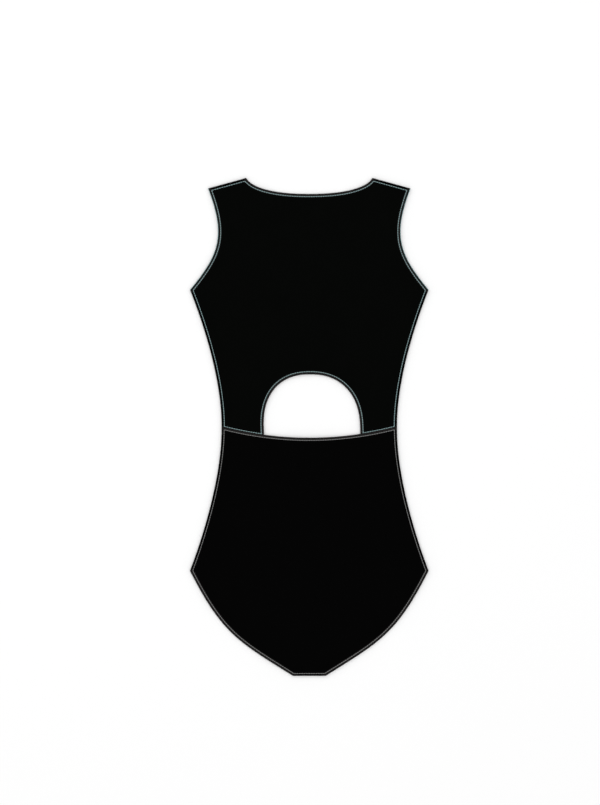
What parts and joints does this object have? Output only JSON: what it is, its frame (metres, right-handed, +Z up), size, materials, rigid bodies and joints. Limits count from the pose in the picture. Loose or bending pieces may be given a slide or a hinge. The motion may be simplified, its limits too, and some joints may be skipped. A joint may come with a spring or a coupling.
{
  "type": "leotard",
  "caption": "Sleeveless black leotard with a wide scoop neck, a narrow crotch and an arch-shaped cut-out above the waist seam, laid flat on its front.",
  "frame": {"origin": "centre of the garment's outline, on the surface that it lies on", "axes": "+Y from the crotch to the neck, +X to the wearer's right, +Z up out of the back"},
  "size_m": [0.3258, 0.6799, 0.0044],
  "materials": {
    "bodice_jersey": "matte black stretch knit",
    "brief_jersey": "matte deep black stretch knit",
    "binding_elastic": "soft brownish black folded elastic",
    "bodice_thread": "bluish grey sewing thread",
    "armhole_edge_thread": "teal sewing thread, finer than the other two",
    "brief_thread": "grey sewing thread"
  },
  "bodies": {
    "root": {"back_bodice": "bodice_jersey", "back_brief": "brief_jersey", "back_waist_band": "binding_elastic", "back_neck_binding": "binding_elastic", "back_arch_binding": "binding_elastic", "back_armhole_binding_right": "binding_elastic", "back_armhole_binding_left": "binding_elastic", "back_leg_binding_right": "binding_elastic", "back_leg_binding_left": "binding_elastic", "front_bodice": "bodice_jersey", "front_brief": "brief_jersey", "front_waist_band": "binding_elastic", "front_neck_binding": "binding_elastic", "front_arch_binding": "binding_elastic", "front_armhole_binding_right": "binding_elastic", "front_armhole_binding_left": "binding_elastic", "front_leg_binding_right": "binding_elastic", "front_leg_binding_left": "binding_elastic"}
  },
  "joints": []
}
